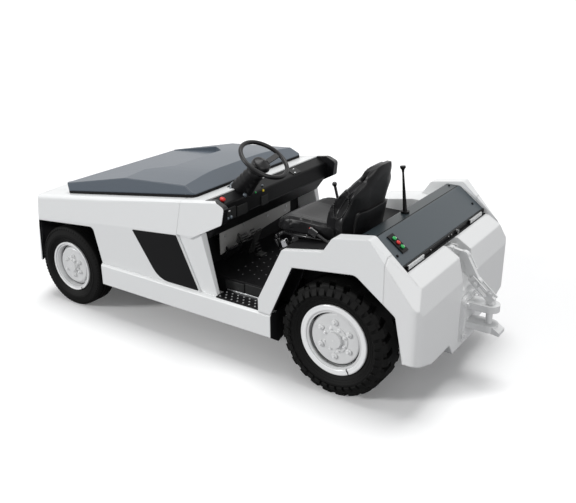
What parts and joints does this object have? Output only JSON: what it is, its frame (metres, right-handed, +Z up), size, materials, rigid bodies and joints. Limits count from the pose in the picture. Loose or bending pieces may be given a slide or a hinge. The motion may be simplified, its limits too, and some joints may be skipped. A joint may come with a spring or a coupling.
{
  "type": "electric airport tow tractor",
  "caption": "Low electric tow tractor with a tilting hood over its battery, an open driving position, lug-tyred rear wheels and a cast tail weight with a drop-pin hitch.",
  "frame": {"origin": "on the floor, midway along and across the machine", "axes": "nose towards -Y, the driver's left towards +X, +Z up"},
  "size_m": [1.3832, 3.464, 1.3551],
  "materials": {
    "white_paint": "gloss",
    "slate_paint": "satin",
    "black_plastic": "matte",
    "seat_vinyl": "matte",
    "dark_steel": "satin",
    "bare_steel": "satin",
    "cast_weight": "painted",
    "tyre_rubber": "matte",
    "seal_rubber": "matte",
    "lamp_lens": "gloss"
  },
  "bodies": {
    "tractor": {"frame": "dark_steel", "battery": "dark_steel", "drive_motor": "dark_steel", "front_axle": "dark_steel", "front_springs": "dark_steel", "rear_axle": "dark_steel", "rear_springs": "dark_steel", "nose_panel": "white_paint", "side_panels": "white_paint", "side_inlays": "black_plastic", "sills": "white_paint", "mud_plates": "dark_steel", "cowl_panels": "white_paint", "cowl_top": "white_paint", "bulkhead": "dark_steel", "kick_panel": "bare_steel", "headlamps": "lamp_lens", "floor_pan": "black_plastic", "step_plates": "black_plastic", "dashboard": "black_plastic", "steering_column": "black_plastic", "pedals": "black_plastic", "seat_deck": "black_plastic", "seat_base": "black_plastic", "seat_cushion": "seat_vinyl", "seat_back": "seat_vinyl", "brake_lever": "black_plastic", "fenders": "white_paint", "tail_weight": "cast_weight", "tail_cover": "slate_paint", "tail_lamp_bar": "black_plastic", "tail_lamps": "lamp_lens", "inching_switches": "black_plastic", "release_lever": "black_plastic", "hitch_bracket": "white_paint"},
    "hood": {"hood": "slate_paint", "hood_seal": "seal_rubber"},
    "steering_wheel": {"steering_wheel": "black_plastic"},
    "knuckle_left": {"knuckle_left": "dark_steel"},
    "knuckle_right": {"knuckle_right": "dark_steel"},
    "tie_rod": {"tie_rod": "dark_steel"},
    "hitch_pin": {"hitch_pin": "bare_steel"},
    "hitch_arm": {"hitch_arm": "white_paint"},
    "front_wheel_left": {"front_rim_left": "white_paint", "front_tyre_left": "tyre_rubber"},
    "front_wheel_right": {"front_rim_right": "white_paint", "front_tyre_right": "tyre_rubber"},
    "rear_wheel_left": {"rear_rim_left": "white_paint", "rear_tyre_left": "tyre_rubber"},
    "rear_wheel_right": {"rear_rim_right": "white_paint", "rear_tyre_right": "tyre_rubber"}
  },
  "joints": [
    {"name": "steer_left", "type": "hinge", "parent": "tractor", "child": "knuckle_left", "pos_m": [0.49, -1.298, 0.306], "axis": [0, 0, 1], "range_deg": [-35, 35]},
    {"name": "steer_right", "type": "hinge", "parent": "tractor", "child": "knuckle_right", "pos_m": [-0.49, -1.298, 0.306], "axis": [0, 0, 1], "range_deg": [-36, 36]},
    {"name": "tie_rod_swing", "type": "hinge", "parent": "knuckle_left", "child": "tie_rod", "pos_m": [0.49, -1.148, 0.226], "axis": [0, 0, 1], "range_deg": [-36, 36]},
    {"name": "steering_wheel_turn", "type": "hinge", "parent": "tractor", "child": "steering_wheel", "pos_m": [0.3, 0.192, 1.202], "axis": [0, 0.5519, 0.8339], "range_deg": [-425, 425]},
    {"name": "front_wheel_left_spin", "type": "hinge", "parent": "knuckle_left", "child": "front_wheel_left", "pos_m": [0.597, -1.298, 0.306], "axis": [1, 0, 0], "continuous": true},
    {"name": "front_wheel_right_spin", "type": "hinge", "parent": "knuckle_right", "child": "front_wheel_right", "pos_m": [-0.597, -1.298, 0.306], "axis": [1, 0, 0], "continuous": true},
    {"name": "rear_wheel_left_spin", "type": "hinge", "parent": "tractor", "child": "rear_wheel_left", "pos_m": [0.5795, 0.962, 0.358], "axis": [1, 0, 0], "continuous": true},
    {"name": "rear_wheel_right_spin", "type": "hinge", "parent": "tractor", "child": "rear_wheel_right", "pos_m": [-0.5795, 0.962, 0.358], "axis": [1, 0, 0], "continuous": true},
    {"name": "hood_tilt", "type": "hinge", "parent": "tractor", "child": "hood", "pos_m": [0, -1.36475, 0.86494], "axis": [1, 0, 0], "range_deg": [0, 55]},
    {"name": "hitch_pin_lift", "type": "slide", "parent": "tractor", "child": "hitch_pin", "axis": [0, 0, 1], "range_m": [0, 0.105]},
    {"name": "hitch_arm_swing", "type": "hinge", "parent": "tractor", "child": "hitch_arm", "pos_m": [0, 1.374, 0.796], "axis": [1, 0, 0], "range_deg": [-1, 19.35]}
  ],
  "couplings": [
    {"joint": "steer_right", "follows": "steer_left", "ratio": 1},
    {"joint": "tie_rod_swing", "follows": "steer_left", "ratio": -1},
    {"joint": "steering_wheel_turn", "follows": "steer_left", "ratio": 12},
    {"joint": "hitch_arm_swing", "follows": "hitch_pin_lift", "rad_per_m": 3.05}
  ]
}
